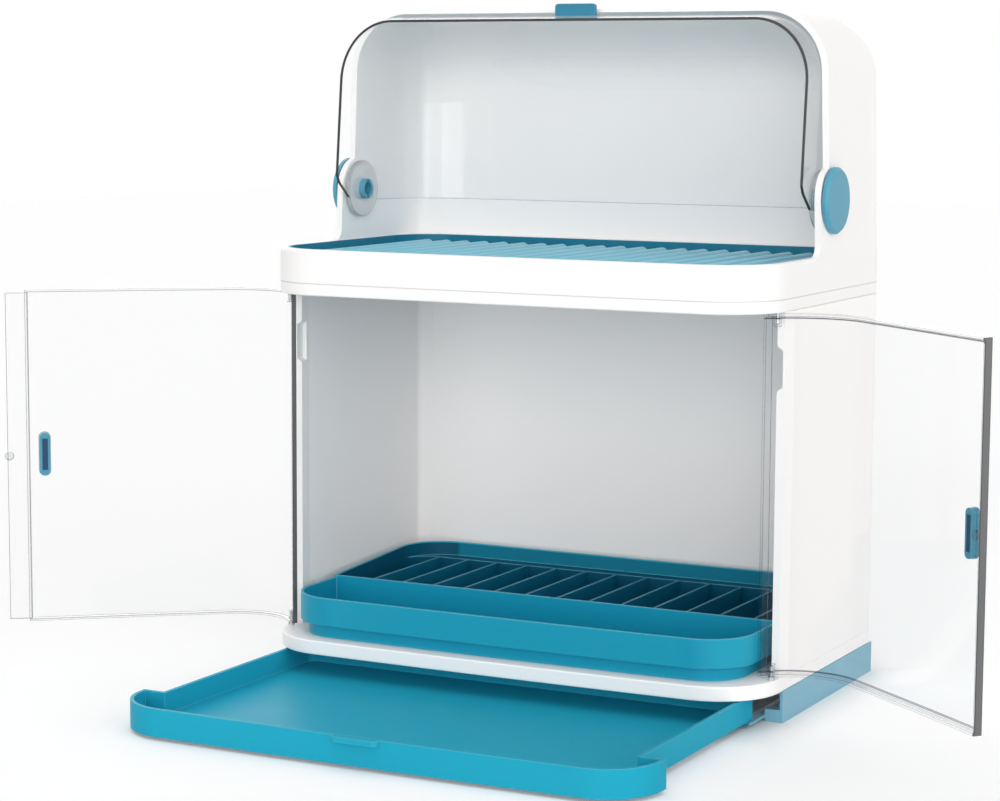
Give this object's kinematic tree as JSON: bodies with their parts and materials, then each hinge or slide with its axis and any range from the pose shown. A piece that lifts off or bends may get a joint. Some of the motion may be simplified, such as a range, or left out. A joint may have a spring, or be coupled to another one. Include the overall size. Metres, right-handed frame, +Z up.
{
  "type": "covered dish drying rack",
  "caption": "Two-level dish drying rack with clear front doors, a turning clear visor under a hood, lift-out racks and a pull-out drip tray.",
  "frame": {"origin": "on the floor under the middle of the cabinet", "axes": "+X to the right of someone who faces the doors, +Y to the back, +Z up"},
  "size_m": [0.8527, 0.501, 0.5687],
  "materials": {
    "white_shell": "smooth satin moulding",
    "teal_plastic": "smooth translucent teal moulding",
    "dark_teal": "smooth dark teal moulding",
    "clear_shell": "clear polished plastic",
    "pin_steel": "plain"
  },
  "bodies": {
    "base": {"base_deck": "white_shell", "side_wall_right": "white_shell", "side_wall_left": "white_shell", "back_panel": "white_shell", "cabinet_top": "white_shell", "upper_housing": "white_shell", "upper_rack": "teal_plastic", "rail_right": "teal_plastic", "rail_left": "teal_plastic", "rail_screws": "pin_steel", "wall_screws": "pin_steel", "top_screws": "pin_steel"},
    "visor": {"visor": "clear_shell", "visor_handle": "dark_teal", "pivot_knob_right": "teal_plastic", "pivot_knob_left": "teal_plastic", "pivot_pin_right": "teal_plastic", "pivot_pin_left": "teal_plastic"},
    "door_right": {"door_right": "clear_shell", "door_pull_right": "dark_teal", "door_catch_right": "clear_shell", "hinge_pin_right_low": "pin_steel", "hinge_pin_right_high": "pin_steel"},
    "door_left": {"door_left": "clear_shell", "door_pull_left": "dark_teal", "door_catch_left": "clear_shell", "hinge_pin_left_low": "pin_steel", "hinge_pin_left_high": "pin_steel"},
    "drip_tray": {"drip_tray": "teal_plastic"},
    "lower_rack": {"lower_rack": "teal_plastic", "rack_divider_01": "teal_plastic", "rack_divider_02": "teal_plastic", "rack_divider_03": "teal_plastic", "rack_divider_04": "teal_plastic", "rack_divider_05": "teal_plastic", "rack_divider_06": "teal_plastic", "rack_divider_07": "teal_plastic", "rack_divider_08": "teal_plastic", "rack_divider_09": "teal_plastic", "rack_divider_10": "teal_plastic", "rack_divider_11": "teal_plastic", "rack_divider_12": "teal_plastic", "rack_divider_13": "teal_plastic"}
  },
  "joints": [
    {"name": "visor_turn", "type": "hinge", "parent": "base", "child": "visor", "pos_m": [0, 0.021, 0.41], "axis": [1, 0, 0], "range_deg": [0, 92]},
    {"name": "door_right_swing", "type": "hinge", "parent": "base", "child": "door_right", "pos_m": [0.221, -0.089, 0.184], "axis": [0, 0, 1], "range_deg": [-140, 0]},
    {"name": "door_left_swing", "type": "hinge", "parent": "base", "child": "door_left", "pos_m": [-0.221, -0.089, 0.184], "axis": [0, 0, 1], "range_deg": [0, 140]},
    {"name": "drip_tray_slide", "type": "slide", "parent": "base", "child": "drip_tray", "axis": [0, 1, 0], "range_m": [0, 0.217]},
    {"name": "lower_rack_lift", "type": "slide", "parent": "base", "child": "lower_rack", "axis": [0, 0, 1], "range_m": [0, 0.03]}
  ]
}
